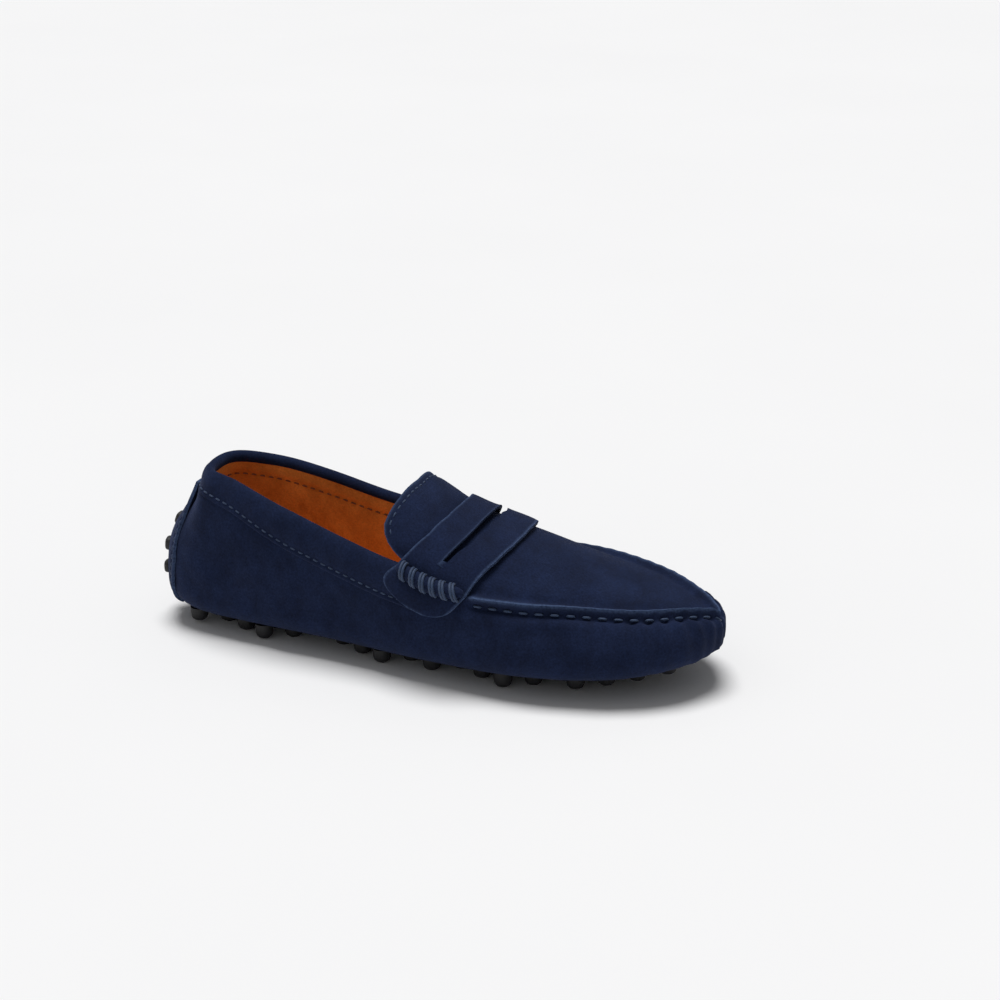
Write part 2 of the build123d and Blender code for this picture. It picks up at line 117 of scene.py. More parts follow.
def form_value(p):
    """Below 0 inside the form, above 0 outside."""
    x, y, z = p[..., 0], p[..., 1], p[..., 2]
    s = np.clip(x, 0.02, LENGTH - 0.02)
    mid = widest(s)
    above = z > mid
    tall = np.where(above, crest(s) - mid, mid - keel(s))
    power = np.where(above, fullness(s), SOLE_FULLNESS)
    wide = np.where(y < 0, lateral(s), medial(s))
    value = (np.abs(z - mid) / np.maximum(tall, 0.05)) ** power
    value = value + (np.abs(y) / np.maximum(wide, 0.05)) ** power - 1
    return value + 4 * np.maximum(np.maximum(-x, x - LENGTH), 0)


def normals_at(p):
    """Outward unit normals of the form near points p."""
    step = 0.25
    grad = np.stack([
        form_value(p + step * axis) - form_value(p - step * axis) for axis in np.eye(3)
    ], -1)
    return grad / np.maximum(np.linalg.norm(grad, axis=-1, keepdims=True), 1e-9)


def hit(start, way, reach=150.0):
    """Where rays from inside the form leave it."""
    low = np.zeros(np.broadcast_shapes(start.shape, way.shape)[:-1])
    high = low + reach
    for _ in range(26):
        t = (low + high) / 2
        inside = form_value(start + way * t[..., None]) < 0
        low, high = np.where(inside, t, low), np.where(inside, high, t)
    return start + way * high[..., None]


def side_tables():
    """Tilt of the ray from the core line for each x and each distance from the crest."""
    xs = np.arange(4.0, 283.0, 2.0)
    tilts = np.radians(np.linspace(-85, 90, 141))
    tables = {}
    for side in (-1, 1):
        start = np.zeros((len(xs), len(tilts), 3))
        start[..., 0], start[..., 2] = xs[:, None], widest(xs)[:, None]
        way = np.zeros_like(start)
        way[..., 1], way[..., 2] = side * np.cos(tilts), np.sin(tilts)
        points = hit(start, way)
        steps = np.linalg.norm(np.diff(points, axis=1), axis=-1)
        from_crest = np.concatenate([np.cumsum(steps[:, ::-1], 1)[:, ::-1], np.zeros((len(xs), 1))], 1)
        grid = np.arange(0.0, 111.0)
        tables[side] = np.array([
            np.interp(grid, row[::-1], tilts[::-1]) for row in from_crest
        ])
    return xs, tables


TABLE_X, TABLES = side_tables()


def across(x, w, lift=0.0):
    """Points at x, w millimetres round the section from the crest (w < 0 is lateral)."""
    x, w, lift = (np.asarray(values, float) for values in np.broadcast_arrays(x, w, lift))
    i = np.clip((x - TABLE_X[0]) / 2, 0, len(TABLE_X) - 1.001)
    j = np.clip(np.abs(w), 0, 109.9)
    i0, j0 = i.astype(int), j.astype(int)
    fi, fj = i - i0, j - j0
    tilt = np.zeros(x.shape)
    for side in (-1, 1):
        t = TABLES[side]
        value = (
            t[i0, j0] * (1 - fi) * (1 - fj) + t[i0 + 1, j0] * fi * (1 - fj)
            + t[i0, j0 + 1] * (1 - fi) * fj + t[i0 + 1, j0 + 1] * fi * fj
        )
        tilt = np.where((w < 0) == (side < 0), value, tilt)
    start = np.stack([x, np.zeros_like(x), widest(x)], -1)
    way = np.stack([np.zeros_like(x), np.where(w < 0, -1, 1) * np.cos(tilt), np.sin(tilt)], -1)
    points = hit(start, way)
    return points + normals_at(points) * lift[..., None]


def above_edge(p):
    """True above the shell's top edge: the rim at the back, the apron seam in front."""
    x, y, z = p[..., 0], p[..., 1], p[..., 2]
    seam = np.where(y < 0, seam_out(x), seam_in(x))
    wide = np.maximum(np.where(y < 0, lateral(x), medial(x)), 0.5)
    mid, power = widest(x), fullness(x)
    share = np.clip(seam / wide, 0, 1) ** power
    seam_z = mid + (crest(x) - mid) * (1 - share) ** (1 / power)
    blend = np.clip((x - 140) / 33, 0, 1)
    low = z > rim(x) * (1 - blend) + seam_z * blend
    return np.where(x >= 173, (z > CORE_Z) & (np.abs(y) < seam), low)


class Skin:
    """The form as lines that run from under the sole, up the walls and over to the top."""

    def __init__(self, fan, side, toe_fan):
        heel = np.linspace(0, 90, fan, endpoint=False)
        along = np.linspace(HEEL_CENTRE, TOE_CENTRE, side)
        toe = np.linspace(0, 90, toe_fan, endpoint=False)
        outer = [(HEEL_CENTRE, 180 + a) for a in heel] + [(x, 270) for x in along]
        outer += [(TOE_CENTRE, 270 + a) for a in toe[1:]]
        inner = [(TOE_CENTRE, 0)] + [(TOE_CENTRE, 90 - a) for a in toe[:0:-1]]
        inner += [(x, 90) for x in along[::-1]] + [(HEEL_CENTRE, 180 - a) for a in heel[:0:-1]]
        lines = np.array(outer + inner)
        self.count = len(lines)
        self.core = lines[:, 0]
        heading = np.radians(lines[:, 1])
        self.way = np.stack([np.cos(heading), np.sin(heading)], -1)
        self.tilts = np.linspace(-90, 90, 161)
        points = self.on_form(np.repeat(self.tilts[None], self.count, 0))
        steps = np.linalg.norm(np.diff(points, axis=1), axis=-1)
        self.runs = np.concatenate([np.zeros((self.count, 1)), np.cumsum(steps, 1)], 1)
        low, high = np.full(self.count, 3.0), np.full(self.count, 90.0)
        for _ in range(24):
            tilt = (low + high) / 2
            over = above_edge(self.on_form(tilt[:, None])[:, 0])
            low, high = np.where(over, low, tilt), np.where(over, tilt, high)
        self.edge = np.array([np.interp(t, self.tilts, r) for t, r in zip(high, self.runs)])
        self.total = self.runs[:, -1]
        self.edge_points = self.on_form(high[:, None])[:, 0]
        self.x = self.edge_points[:, 0]
        self.outer = self.way[:, 1] < 1e-6
        gaps = np.linalg.norm(np.diff(self.edge_points, axis=0, append=self.edge_points[:1]), axis=-1)
        self.walk = np.concatenate([[0], np.cumsum(gaps)[:-1]])

    def on_form(self, tilts):
        t = np.radians(tilts)
        start = np.zeros(t.shape + (3,))
        start[..., 0], start[..., 2] = self.core[:, None], CORE_Z
        flat = np.cos(t)
        way = np.stack([flat * self.way[:, :1], flat * self.way[:, 1:], np.sin(t)], -1)
        return hit(start, way)

    def at(self, run, lift=0.0):
        """Points at these distances from under the sole, one row of them for each line."""
        tilt = np.array([np.interp(r, line, self.tilts) for r, line in zip(run, self.runs)])
        points = self.on_form(tilt)
        normal = normals_at(points)
        pole = np.abs(tilt) > 89.7
        normal[..., 1] = np.where(pole, 0, normal[..., 1])
        normal /= np.linalg.norm(normal, axis=-1, keepdims=True)
        return points + normal * np.broadcast_to(lift, tilt.shape)[..., None]


skin = Skin(fan=44, side=190, toe_fan=60)


# ------------------------------------------------------------------ meshes
def to_frame(points):
    return (np.asarray(points, float) - (ORIGIN, 0, 0)) / 1000


def new_mesh(name, points, faces, material, edge=None, merge=True, crease=50):
    """An object from points in shape millimetres, smooth but for its sharp edges."""
    mesh = bpy.data.meshes.new(name)
    mesh.from_pydata(to_frame(points).tolist(), [], [tuple(f) for f in faces])
    if edge is not None:
        layer = mesh.attributes.new("edge", "FLOAT", "POINT")
        layer.data.foreach_set("value", np.asarray(edge, np.float32))
    work = bmesh.new()
    work.from_mesh(mesh)
    if merge:
        bmesh.ops.remove_doubles(work, verts=work.verts, dist=2e-5)
    bmesh.ops.dissolve_degenerate(work, dist=1e-6, edges=work.edges)
    bmesh.ops.recalc_face_normals(work, faces=work.faces)
    for face in work.faces:
        face.smooth = True
    limit = math.radians(crease)
    for line in work.edges:
        if len(line.link_faces) == 2 and line.calc_face_angle(0) > limit:
            line.smooth = False
    work.to_mesh(mesh)
    work.free()
    mesh.materials.append(material)
    piece = bpy.data.objects.new(name, mesh)
    bpy.context.scene.collection.objects.link(piece)
    return piece


def sheet(name, outer, inner, material, loop=False, joined=(), keep=None, edge=None):
    """A closed sheet between two grids of points (lines, rows). Rows in joined get no wall."""
    wide, deep = outer.shape[:2]
    points = np.concatenate([outer.reshape(-1, 3), inner.reshape(-1, 3)])
    number = np.arange(wide * deep).reshape(wide, deep)
    far = number + wide * deep
    spans = wide if loop else wide - 1
    kept = np.ones((spans, deep - 1), bool) if keep is None else keep[:spans, : deep - 1]
    faces = []
    nxt = (np.arange(spans) + 1) % wide
    for i in range(spans):
        k = nxt[i]
        for j in np.nonzero(kept[i])[0]:
            faces.append((number[i, j], number[i, j + 1], number[k, j + 1], number[k, j]))
            faces.append((far[i, j], far[k, j], far[k, j + 1], far[i, j + 1]))
            if (j == 0 or not kept[i, j - 1]) and j not in joined:
                faces.append((number[i, j], number[k, j], far[k, j], far[i, j]))
            if (j == deep - 2 or not kept[i, j + 1]) and j + 1 not in joined:
                faces.append((number[k, j + 1], number[i, j + 1], far[i, j + 1], far[k, j + 1]))
            before = (i - 1) % spans if loop else i - 1
            if before < 0 or not kept[before, j]:
                faces.append((number[i, j + 1], number[i, j], far[i, j], far[i, j + 1]))
            after = (i + 1) % spans if loop else i + 1
            if after >= spans or not kept[after, j]:
                faces.append((number[k, j], number[k, j + 1], far[k, j + 1], far[k, j]))
    marks = None if edge is None else np.concatenate([edge.ravel(), edge.ravel()])
    return new_mesh(name, points, faces, material, marks)


def tubes(name, paths, radius, material, sides=8, flat=1.0):
    """Round ended threads along rows of points, all in one piece."""
    points, faces = [], []
    for path in paths:
        path = np.asarray(path, float)
        way = np.gradient(path, axis=0)
        way /= np.linalg.norm(way, axis=-1, keepdims=True)
        up = normals_at(path)
        aside = np.cross(way, up)
        aside /= np.linalg.norm(aside, axis=-1, keepdims=True)
        up = np.cross(aside, way)
        share = np.linspace(-1, 1, len(path))
        swell = np.sqrt(np.clip(1 - np.abs(share) ** 4, 0.0, 1)) * 0.92 + 0.08
        base = len(points)
        for p, a, u, s in zip(path, aside, up, swell):
            for k in range(sides):
                turn = 2 * math.pi * k / sides
                points.append(p + radius * s * (a * math.cos(turn) + u * flat * math.sin(turn)))
        for i in range(len(path) - 1):
            for k in range(sides):
                m = (k + 1) % sides
                row = base + i * sides
                faces.append((row + k, row + m, row + sides + m, row + sides + k))
        faces.append(tuple(base + k for k in reversed(range(sides))))
        faces.append(tuple(base + (len(path) - 1) * sides + k for k in range(sides)))
    return new_mesh(name, np.array(points), faces, material, merge=False, crease=80)


# ------------------------------------------------------------------ materials
class Nodes:
    """Short calls that add shader nodes to a new material."""

    def __init__(self, name):
        self.material = bpy.data.materials.new(name)
        self.material.use_nodes = True
        self.tree = self.material.node_tree
        self.shader = self.tree.nodes["Principled BSDF"]
        self.where = self.add("ShaderNodeTexCoord").outputs["Object"]

    def add(self, kind, **values):
        node = self.tree.nodes.new(kind)
        for key, value in values.items():
            if hasattr(node, key):
                setattr(node, key, value)
            else:
                node.inputs[key.replace("_", " ").title()].default_value = value
        return node

    def link(self, source, target):
        self.tree.links.new(source, target)

    def noise(self, scale, detail=3.0, roughness=0.55, stretch=None, distortion=0.0):
        node = self.add("ShaderNodeTexNoise", scale=scale, detail=detail, roughness=roughness,
                        distortion=distortion)
        if stretch:
            mapping = self.add("ShaderNodeMapping", scale=stretch)
            self.link(self.where, mapping.inputs["Vector"])
            self.link(mapping.outputs["Vector"], node.inputs["Vector"])
        else:
            self.link(self.where, node.inputs["Vector"])
        return node.outputs["Fac"]

    def ramp(self, source, *stops):
        node = self.add("ShaderNodeValToRGB")
        points = node.color_ramp.elements
        while len(points) < len(stops):
            points.new(0.5)
        for point, (place, colour) in zip(points, stops):
            point.position = place
            point.color = colour if len(colour) == 4 else (*colour, 1)
        self.link(source, node.inputs["Fac"])
        return node.outputs["Color"]

    def mix(self, factor, first, second, blend="MIX"):
        node = self.add("ShaderNodeMix", data_type="RGBA", blend_type=blend)
        for value, place in ((factor, 0), (first, 6), (second, 7)):
            if hasattr(value, "is_output"):
                self.link(value, node.inputs[place])
            else:
                node.inputs[place].default_value = value if place == 0 else (*value, 1)
        return node.outputs[2]

    def math(self, operation, first, second):
        node = self.add("ShaderNodeMath", operation=operation)
        for value, place in ((first, 0), (second, 1)):
            if hasattr(value, "is_output"):
                self.link(value, node.inputs[place])
            else:
                node.inputs[place].default_value = value
        return node.outputs[0]

    def bump(self, height, strength, distance, before=None):
        node = self.add("ShaderNodeBump", strength=strength, distance=distance)
        self.link(height, node.inputs["Height"])
        if before:
            self.link(before, node.inputs["Normal"])
        return node.outputs["Normal"]

    def attribute(self, name):
        return self.add("ShaderNodeAttribute", attribute_name=name).outputs["Fac"]


def suede(name, deep, light, raw, sheen, brushed=1.0):
    """Napped leather: brushed patches, short fibres, a soft sheen and paler cut edges."""
    n = Nodes(name)
    patches = n.noise(60, detail=4, distortion=0.6)
    strokes = n.noise(150, detail=3, stretch=(1.0, 0.45, 0.7))
    fibres = n.noise(1000, detail=4, roughness=0.75)
    grit = n.noise(4200, detail=2)
    nap = n.mix(0.5, patches, strokes)
    spread = 0.5 * brushed
    base = n.ramp(nap, (0.5 - 0.2, deep), (0.5 + 0.22, light))
    fleck = n.ramp(fibres, (0.3, (1 - spread, 1 - spread, 1 - spread)), (0.75, (1 + spread,) * 3))
    colour = n.mix(0.8, base, fleck, "MULTIPLY")
    rub = n.ramp(n.noise(900), (0.3, (0.35,) * 3), (0.6, (1,) * 3))
    worn = n.math("MULTIPLY", n.attribute("edge"), rub)
    colour = n.mix(worn, colour, raw)
    n.link(colour, n.shader.inputs["Base Color"])
    n.link(n.ramp(strokes, (0.3, (0.82,) * 3), (0.7, (0.97,) * 3)), n.shader.inputs["Roughness"])
    n.shader.inputs["Specular IOR Level"].default_value = 0.08
    n.shader.inputs["Sheen Weight"].default_value = sheen
    n.shader.inputs["Sheen Roughness"].default_value = 0.45
    n.shader.inputs["Sheen Tint"].default_value = (*[min(1, 4 * c + 0.12) for c in light], 1)
    rough = n.bump(strokes, 0.35, 0.0007)
    rough = n.bump(fibres, 0.75, 0.0003, rough)
    n.link(n.bump(grit, 0.35, 0.0001, rough), n.shader.inputs["Normal"])
    return n.material


def thread(name, deep, light):
    """Twisted waxed thread."""
    n = Nodes(name)
    twist = n.noise(2600, detail=2, stretch=(1, 2.2, 2.2))
    n.link(n.ramp(twist, (0.3, deep), (0.7, light)), n.shader.inputs["Base Color"])
    n.shader.inputs["Roughness"].default_value = 0.6
    n.shader.inputs["Sheen Weight"].default_value = 0.1
    n.link(n.bump(twist, 0.7, 0.0002), n.shader.inputs["Normal"])
    return n.material


def rubber(name):
    n = Nodes(name)
    dust = n.noise(400, detail=5)
    colour = n.ramp(dust, (0.35, (0.006, 0.006, 0.008)), (0.8, (0.022, 0.022, 0.025)))
    n.link(colour, n.shader.inputs["Base Color"])
    n.link(n.ramp(dust, (0.3, (0.5,) * 3), (0.8, (0.75,) * 3)), n.shader.inputs["Roughness"])
    n.link(n.bump(n.noise(1800), 0.2, 0.0001), n.shader.inputs["Normal"])
    return n.material


navy = suede("navy_suede", (0.0058, 0.0098, 0.029), (0.0135, 0.0225, 0.062), (0.055, 0.085, 0.17), 0.24)
tan = suede("tan_lining", (0.52, 0.175, 0.034), (0.86, 0.34, 0.078), (0.80, 0.42, 0.16), 0.25, 0.5)
blue_thread = thread("blue_thread", (0.007, 0.019, 0.055), (0.024, 0.058, 0.140))
tan_thread = thread("tan_thread", (0.16, 0.05, 0.010), (0.30, 0.11, 0.03))
black_rubber = rubber("black_rubber")
board = suede("fibreboard", (0.30, 0.22, 0.14), (0.42, 0.33, 0.22), (0.5, 0.4, 0.3), 0.1, 0.5)


# ------------------------------------------------------------------ shared rows and lines
def rear_lines(last):
    """The lines behind x = last, in order round the heel."""
    return np.r_[np.nonzero(~skin.outer & (skin.x <= last))[0], np.nonzero(skin.outer & (skin.x <= last))[0]]


def front_lines(first):
    """The lines in front of x = first, in order round the toe."""
    return np.nonzero(skin.x >= first)[0]


REAR, REAR_LINING = rear_lines(147), rear_lines(166)
FRONT, APRON_LINES = front_lines(166), front_lines(155)
EDGE, TOTAL, X = skin.edge[:, None], skin.total[:, None], skin.x[:, None]
WALK = skin.walk[:, None]
waves = rng.normal(0, 1, (12, 3))
phases = rng.uniform(0, 6.28, 12)


def soft_waves(points, size):
    """Gentle unevenness, about -1 to 1, with hollows about this many millimetres apart."""
    turn = points @ (waves.T * 3.2 / size) + phases
    return np.sin(turn).sum(-1) / 4


def down(depths):
    return EDGE - np.asarray(depths, float)[None]


def under(start, shares):
    return (EDGE - start) * (1 - np.asarray(shares, float)[None])


def over(start, shares):
    return EDGE + start + (TOTAL - EDGE - start) * np.asarray(shares, float)[None]


def panel(name, lines, run, faces, material, joined=(), loop=False, edge=None):
    """A sheet over some of the skin's lines, between two lifts."""
    outer, inner = skin.at(run, faces[0])[lines], skin.at(run, faces[1])[lines]
    return sheet(name, outer, inner, material, loop, joined, edge=edge)


def ring_body(name, grid, material, edge=None):
    """A closed body through rings of points, with flat ends."""
    wide, deep = grid.shape[:2]
    faces = [
        (i * deep + j, i * deep + (j + 1) % deep, (i + 1) * deep + (j + 1) % deep, (i + 1) * deep + j)
        for i in range(wide - 1) for j in range(deep)
    ]
    faces += [tuple(range(deep - 1, -1, -1)), tuple((wide - 1) * deep + j for j in range(deep))]
    return new_mesh(name, grid.reshape(-1, 3), faces, material, None if edge is None else edge.ravel())


def dashes(path, pitch, length, count_points=7):
    """Short pieces of a path, evenly spaced."""
    steps = np.linalg.norm(np.diff(path, axis=0), axis=1)
    far = np.r_[0, np.cumsum(steps)]
    middles = np.arange(pitch / 2, far[-1] - pitch / 3, pitch)
    pieces = []
    for middle in middles:
        at = np.linspace(middle - length / 2, middle + length / 2, count_points)
        dip = -0.45 * np.linspace(-1, 1, count_points) ** 4
        points = np.stack([np.interp(at, far, path[:, axis]) for axis in range(3)], -1)
        pieces.append(points + normals_at(points) * dip[:, None])
    return pieces


# ------------------------------------------------------------------ outer leather
front_share = smooth((X - 172) / 6)
toe_share = smooth((X - 228) / 30)
pucker = np.cos(2 * np.pi * WALK / SEAM_PITCH)

near = np.array([0, .5, 1, 1.6, 2.3, 3.1, 4, 5, 6.3, 8, 10, 12.2, 14.6, 17.2, 20])
lead = 3.3 * (1 - smooth((X - 150) / 10))
shell_run = np.concatenate([EDGE - near - lead, under(23.3, np.linspace(0.04, 1, 30))], 1)
depth = EDGE - shell_run
ridge = 2.6 * np.exp(-(depth / 1.5) ** 2) - 1.7 * np.exp(-((depth - 3.7) / 1.9) ** 2)
ridge = (ridge + 0.5 * np.exp(-((depth - 8.5) / 3) ** 2)) * front_share
gathers = (0.1 + 0.9 * toe_share) * front_share * pucker * np.exp(-depth / (4 + 12 * toe_share))
gathers *= 1 - np.exp(-(depth / 1.2) ** 2) * 0.6
flat_points = skin.at(shell_run)
wall_share = smooth((flat_points[..., 2] - 9) / 12) * smooth(depth / 14)
hollow = 0.55 * soft_waves(flat_points, 26) + 0.2 * soft_waves(flat_points, 9)
creases = -0.7 * np.exp(-((depth - 15 - 2 * np.sin(WALK / 9)) / 3.4) ** 2)
creases *= smooth((X - 178) / 20) * (1 - toe_share)
shell_lift = ridge + gathers + hollow * wall_share + creases
raw = np.exp(-(depth / 0.7) ** 2) * front_share
shell = panel(
    "shell_leather", slice(None), shell_run, (shell_lift, shell_lift - SUEDE), navy,
    joined=[shell_run.shape[1] - 1], loop=True, edge=raw,
)

inward = np.array([0, .4, .9, 1.5, 2.2, 3, 4, 5.2, 6.8, 8.8, 11])
apron_run = np.concatenate([EDGE + inward, over(11, np.linspace(0.07, 1, 20))], 1)
inside = apron_run - EDGE
apron_points = skin.at(apron_run)
apron_lift = 3.0 * np.exp(-(inside / 1.9) ** 2) * front_share - 0.45 * np.exp(-((inside - 4.6) / 2) ** 2)
apron_lift = apron_lift + 0.12 * pucker * front_share * np.exp(-inside / 5)
apron_lift = apron_lift + 0.35 * soft_waves(apron_points, 34) * smooth(inside / 12)
apron_raw = 1.5 * np.exp(-(inside / 0.8) ** 2) * front_share
apron = panel(
    "apron_leather", APRON_LINES, apron_run, (apron_lift, apron_lift - SUEDE), navy,
    joined=[apron_run.shape[1] - 1], edge=apron_raw[APRON_LINES],
)

seam_depth = 3.0
seam_lift = -0.45
seam_row = skin.at(EDGE - seam_depth, seam_lift + 0 * EDGE)[:, 0]
seam_lines = front_lines(175)
seam = tubes("moc_seam_thread", dashes(seam_row[seam_lines], SEAM_PITCH, 4.4), 0.62, blue_thread)

# ------------------------------------------------------------------ penny strap
strap_w = np.array([0, 15, 30, 42, 50, 55, 59, 62, 64.5, 66.0])
strap_rear = np.array([152, 151.5, 148.5, 142.5, 137.5, 133.2, 131.6, 133.2, 138.0, 145.0])
strap_front = np.array([186, 185.5, 182.5, 177.5, 174, 170.8, 168, 165, 160, 153.0])
STRAP_W = 66.0
SLOT_W = 42.0
w = np.linspace(-STRAP_W, STRAP_W, 181)
width_share = np.abs(w)
rear = np.interp(width_share, strap_w, strap_rear)
front = np.interp(width_share, strap_w, strap_front)
soften = np.array([1, 2, 3, 2, 1]) / 9
rear[2:-2], front[2:-2] = np.convolve(rear, soften, "valid"), np.convolve(front, soften, "valid")
lip = 166 - 8 * (width_share / SLOT_W) ** 3
lip = np.where(width_share > SLOT_W, (rear * 0.45 + front * 0.55), lip)
opening = 3.4 * np.clip(1 - (w / SLOT_W) ** 2, 0, 1) ** 0.7 * (1 + 0.22 * np.sin(w * 0.42))
split = 14
back_part = rear[:, None] + (lip - rear)[:, None] * np.linspace(0, 1, split)[None]
fore_part = (lip + opening)[:, None] + (front - lip - opening)[:, None] * np.linspace(0, 1, split)[None]
strap_x = np.concatenate([back_part, fore_part[:, 1:]], 1)
strap_x[:, split] = np.maximum(strap_x[:, split], strap_x[:, split - 1] + 0.2)
strap_w_grid = np.repeat(w[:, None], strap_x.shape[1], 1)
hole = np.ones((len(w) - 1, strap_x.shape[1] - 1), bool)
hole[:, split - 1] = (width_share[:-1] > SLOT_W - 2) | (width_share[1:] > SLOT_W - 2)
to_edge = np.minimum(strap_x - rear[:, None], front[:, None] - strap_x)
to_edge = np.minimum(to_edge, (STRAP_W - width_share)[:, None])
to_slot = np.where(width_share[:, None] < SLOT_W, np.minimum(
    np.abs(strap_x - lip[:, None]), np.abs(strap_x - (lip + opening)[:, None])), 9)
press = np.exp(-((width_share - 50) / 4.5) ** 2)[:, None]
flat_strap = across(strap_x, strap_w_grid)
strap_lift = STRAP_LIFT + 0.5 * (1 - np.exp(-to_edge / 2.5)) + 0.3 * soft_waves(flat_strap, 18)
strap_lift = strap_lift - 0.9 * press + 0.5 * np.exp(-to_slot / 1.5)
strap_raw = np.maximum(np.exp(-(to_edge / 0.6) ** 2), 0.55 * np.exp(-(to_slot / 0.6) ** 2))
strap = sheet(
    "penny_strap", across(strap_x, strap_w_grid, strap_lift),
    across(strap_x, strap_w_grid, strap_lift - STRAP_THICK), navy, keep=hole, edge=strap_raw,
)

ROLL_W, ROLL_RADIUS = 50.0, 3.6
rolls, wraps = [], []
for side, name in ((-1, "lateral"), (1, "medial")):
    share = np.linspace(0, 1, 41)
    roll_x = 138 + 35 * share
    roll_path = across(roll_x, side * (ROLL_W + 1.5 * np.sin(np.pi * share)), 3.6 + 0 * share)
    rolls.append(tubes("roll_" + name, [roll_path], ROLL_RADIUS, navy, sides=18))
    turns = []
    for k in range(6):
        at = 0.13 + 0.74 * k / 5
        middle = np.array([np.interp(at, share, roll_path[:, axis]) for axis in range(3)])
        ahead = np.array([np.interp(at + 0.03, share, roll_path[:, axis]) for axis in range(3)]) - middle
        ahead /= np.linalg.norm(ahead)
        up = normals_at(middle[None])[0]
        aside = np.cross(ahead, up)
        aside /= np.linalg.norm(aside)
        for shift in (-0.75, 0.75):
            arc = np.radians(np.linspace(-35, 215, 21))
            lean = 1.6 * np.cos(arc)[:, None] * ahead + shift * ahead
            turns.append(middle + lean + (ROLL_RADIUS + 0.35) * (
                np.cos(arc)[:, None] * aside + np.sin(arc)[:, None] * up))
    wraps.append(tubes("wraps_" + name, turns, 0.72, blue_thread))

# ------------------------------------------------------------------ tongue
TONGUE_W = 47.0
TONGUE_FRONT = 162.0    # its sewn end, under the strap
tongue_w = np.linspace(-TONGUE_W, TONGUE_W, 95)
tongue_rear = np.interp(
    np.abs(tongue_w), (0, 20, 30, 36, 40, 43, 45.5, 47), (130.5, 129.6, 128.2, 127.4, 128.6, 131, 135, 140))
tongue_share = np.array([0, .015, .03, .06, .1, .15, .22, .3, .4, .5, .6, .7, .8, .9, 1])


def tongue_grid(inset, lift):
    x = tongue_rear[:, None] + inset + (TONGUE_FRONT - tongue_rear[:, None] - inset) * tongue_share[None]
    reach = np.repeat(tongue_w[:, None] * (1 - inset / TONGUE_W), x.shape[1], 1)
    flare = 2.4 * np.exp(-(x - 127) / 9) * np.clip(1 - (reach / 44) ** 2, 0, 1)
    return across(x, reach, lift + flare - 2.5 * smooth((x - 149) / 6))


tongue_in = np.minimum(
    (TONGUE_FRONT - tongue_rear)[:, None] * tongue_share[None], (TONGUE_W - np.abs(tongue_w))[:, None])
tongue_lift = 0.5 + 0.9 * smooth(tongue_in / 7) * (1 - smooth((tongue_share[None] - 0.3) / 0.4))
tongue_lift = tongue_lift - 0.5 * np.exp(-((tongue_in - 2.6) / 0.9) ** 2)
tongue = sheet(
    "tongue_leather", tongue_grid(0, tongue_lift), tongue_grid(0, -1.0 + 0 * tongue_lift), navy,
    edge=np.exp(-(tongue_in / 0.7) ** 2),
)
tongue_under = sheet(
    "tongue_under_lining", tongue_grid(1.2, -1.1 + 0 * tongue_lift),
    tongue_grid(1.2, -2.2 + 0 * tongue_lift), tan)
row_flare = 2.4 * np.exp(-(tongue_rear + 2.7 - 127) / 9) * np.clip(1 - (tongue_w * 0.945 / 44) ** 2, 0, 1)
tongue_row = across(tongue_rear + 2.7, tongue_w * 0.945, 0.55 + row_flare)
tongue_thread = tubes("tongue_stitches", dashes(tongue_row[3:-3], 4.6, 3.0), STITCH_RADIUS, blue_thread)

# ------------------------------------------------------------------ padded collar
band_depth = np.interp(X, (0, 10, 35, 61, 78, 300), (8.5, 9.5, 12.5, 16, 17.5, 17.5))
# share of the depth, added depth and lift of each point round the band
COLLAR_PROFILE = (
    (1, 0.0, 0.1), (1, 0.0, 0.7), (1, -0.4, 1.15), (1, -1.2, 1.3), (1, -2.0, 0.95), (1, -2.6, 0.75),
    (1, -3.3, 1.05), (0.78, -2.6, 1.7), (0.6, -1.6, 2.1), (0.4, -0.8, 2.3), (0.2, -0.3, 2.2), (0.08, 0, 1.9),
    (0, -0.3, 1.4), (0, -1.3, 0.6), (0, -1.9, -0.4), (0, -2.0, -1.5), (0, -1.6, -2.6), (0, -0.7, -3.5),
    (0, 0.5, -4.1), (0, 1.6, -4.3), (0, 2.4, -4.1), (0, 2.6, -3.7), (0, 1.8, -3.2), (0, 0.8, -2.2),
    (0, 1.8, -0.4), (0.5, 0, 0.05),
)
collar_run = np.concatenate([EDGE - (band_depth * a + b) for a, b, _ in COLLAR_PROFILE], 1)
collar_lift = np.array([lift for _, _, lift in COLLAR_PROFILE])[None] + 0 * collar_run
collar_lift[:, 1:13] *= np.interp(X, (0, 30, 70), (0.55, 0.7, 1))
puff = 0.3 * np.sin(WALK / 3.1) * np.sin(WALK / 7.7)
collar_lift[:, 7:12] += puff
collar = ring_body("padded_collar", skin.at(collar_run, collar_lift)[REAR], navy)
collar_row = skin.at(EDGE - band_depth + 2.6, np.interp(X, (0, 30, 70), (0.6, 0.72, 1)))[REAR][:, 0]
collar_thread = tubes("collar_stitches", dashes(collar_row, STITCH_PITCH, 3.0), STITCH_RADIUS, blue_thread)

